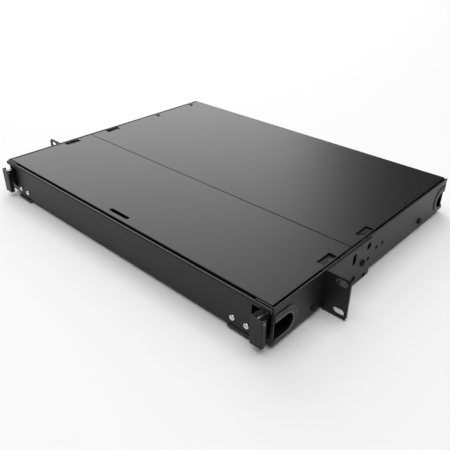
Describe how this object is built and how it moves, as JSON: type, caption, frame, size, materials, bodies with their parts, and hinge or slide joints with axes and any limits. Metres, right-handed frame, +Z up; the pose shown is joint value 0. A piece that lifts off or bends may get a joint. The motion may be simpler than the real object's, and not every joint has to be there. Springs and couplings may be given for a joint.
{
  "type": "fiber termination box",
  "caption": "Flat rack-mount fiber termination box in black sheet steel, with slotted ears, a drop-down front door, lift-off top covers and side cable ports.",
  "frame": {"origin": "centre of the four rack slots, on the rear faces of the ears that meet the rack rails", "axes": "+X to the right seen from the front, +Y to the rear of the rack, +Z up"},
  "size_m": [0.4826, 0.3467, 0.0461],
  "materials": {
    "pan_paint": "satin black powder coat",
    "cover_paint": "satin black powder coat",
    "door_paint": "satin black powder coat",
    "ear_paint": "satin black powder coat",
    "guard_paint": "satin black powder coat",
    "hinge_steel": "black oxide",
    "black_screw": "black zinc",
    "zinc_steel": "zinc plated",
    "bright_rivet": "bright",
    "brass_stud": "plain",
    "spring_bronze": "phosphor bronze",
    "grommet_plastic": "black nylon",
    "latch_plastic": "black acetal",
    "adapter_plastic": "blue moulded",
    "cap_plastic": "soft translucent grey",
    "plunger_nylon": "black nylon",
    "guide_plastic": "black ABS",
    "tray_plastic": "dark grey ABS",
    "lid_plastic": "clear smoked polycarbonate",
    "holder_plastic": "white TPE"
  },
  "bodies": {
    "chassis": {"adapter_bulkhead": "pan_paint", "adapter_plate_left": "pan_paint", "adapter_plate_middle": "pan_paint", "adapter_plate_right": "pan_paint", "adapters_left": "adapter_plastic", "adapters_middle": "adapter_plastic", "adapters_right": "adapter_plastic", "beam_end_plates": "pan_paint", "cable_clamps": "pan_paint", "cable_guard_left": "guard_paint", "cable_guard_right": "guard_paint", "centre_beam": "pan_paint", "chassis_pan": "pan_paint", "chassis_rivets": "black_screw", "clamp_screws": "zinc_steel", "cover_rail_left": "pan_paint", "cover_rail_right": "pan_paint", "dust_caps": "cap_plastic", "ear_screws": "black_screw", "front_fibre_guides": "guide_plastic", "front_port_grommet_left": "grommet_plastic", "front_port_grommet_right": "grommet_plastic", "ground_nut_and_washer": "brass_stud", "ground_stud": "brass_stud", "guard_pins": "zinc_steel", "guard_springs": "spring_bronze", "hinge_fixed_leaf_left": "hinge_steel", "hinge_fixed_leaf_right": "hinge_steel", "hinge_pins": "zinc_steel", "rack_ear_left": "ear_paint", "rack_ear_right": "ear_paint", "rear_fibre_guides": "guide_plastic", "rear_port_grommet_left": "grommet_plastic", "rear_port_grommet_right": "grommet_plastic", "side_screws": "black_screw", "splice_holders": "holder_plastic", "splice_tray": "tray_plastic", "splice_tray_lid": "lid_plastic", "tray_stud": "zinc_steel", "tray_wing_nut": "zinc_steel", "wall_nuts": "zinc_steel"},
    "door": {"front_door": "door_paint", "door_rivets": "bright_rivet", "hinge_door_leaf_left": "hinge_steel", "hinge_door_leaf_right": "hinge_steel"},
    "front_cover": {"front_top_cover": "cover_paint", "front_latch_guides": "pan_paint"},
    "rear_cover": {"rear_top_cover": "cover_paint", "rear_latch_guides": "pan_paint", "rear_cover_screws": "black_screw"},
    "front_cover_latch_left": {"front_cover_latch_left": "latch_plastic"},
    "front_cover_latch_right": {"front_cover_latch_right": "latch_plastic"},
    "plunger_left_plate_left": {"plunger_left_plate_left": "plunger_nylon"},
    "plunger_left_plate_right": {"plunger_left_plate_right": "plunger_nylon"},
    "plunger_middle_plate_left": {"plunger_middle_plate_left": "plunger_nylon"},
    "plunger_middle_plate_right": {"plunger_middle_plate_right": "plunger_nylon"},
    "plunger_right_plate_left": {"plunger_right_plate_left": "plunger_nylon"},
    "plunger_right_plate_right": {"plunger_right_plate_right": "plunger_nylon"},
    "rear_cover_latch_left": {"rear_cover_latch_left": "latch_plastic"},
    "rear_cover_latch_right": {"rear_cover_latch_right": "latch_plastic"}
  },
  "joints": [
    {"name": "door_hinge", "type": "hinge", "parent": "chassis", "child": "door", "pos_m": [0, -0.0805, -0.0195], "axis": [1, 0, 0], "range_deg": [0, 100]},
    {"name": "front_cover_lift", "type": "slide", "parent": "chassis", "child": "front_cover", "axis": [0, 0, 1], "range_m": [0, 0.06]},
    {"name": "rear_cover_lift", "type": "slide", "parent": "chassis", "child": "rear_cover", "axis": [0, 0, 1], "range_m": [0, 0.06]},
    {"name": "front_latch_left_slide", "type": "slide", "parent": "front_cover", "child": "front_cover_latch_left", "axis": [0, 1, 0], "range_m": [0, 0.008]},
    {"name": "rear_latch_left_slide", "type": "slide", "parent": "rear_cover", "child": "rear_cover_latch_left", "axis": [0, -1, 0], "range_m": [0, 0.008]},
    {"name": "front_latch_right_slide", "type": "slide", "parent": "front_cover", "child": "front_cover_latch_right", "axis": [0, 1, 0], "range_m": [0, 0.008]},
    {"name": "rear_latch_right_slide", "type": "slide", "parent": "rear_cover", "child": "rear_cover_latch_right", "axis": [0, -1, 0], "range_m": [0, 0.008]},
    {"name": "plunger_left_plate_left_pull", "type": "slide", "parent": "chassis", "child": "plunger_left_plate_left", "axis": [0, -1, 0], "range_m": [0, 0.005]},
    {"name": "plunger_left_plate_right_pull", "type": "slide", "parent": "chassis", "child": "plunger_left_plate_right", "axis": [0, -1, 0], "range_m": [0, 0.005]},
    {"name": "plunger_middle_plate_left_pull", "type": "slide", "parent": "chassis", "child": "plunger_middle_plate_left", "axis": [0, -1, 0], "range_m": [0, 0.005]},
    {"name": "plunger_middle_plate_right_pull", "type": "slide", "parent": "chassis", "child": "plunger_middle_plate_right", "axis": [0, -1, 0], "range_m": [0, 0.005]},
    {"name": "plunger_right_plate_left_pull", "type": "slide", "parent": "chassis", "child": "plunger_right_plate_left", "axis": [0, -1, 0], "range_m": [0, 0.005]},
    {"name": "plunger_right_plate_right_pull", "type": "slide", "parent": "chassis", "child": "plunger_right_plate_right", "axis": [0, -1, 0], "range_m": [0, 0.005]}
  ]
}
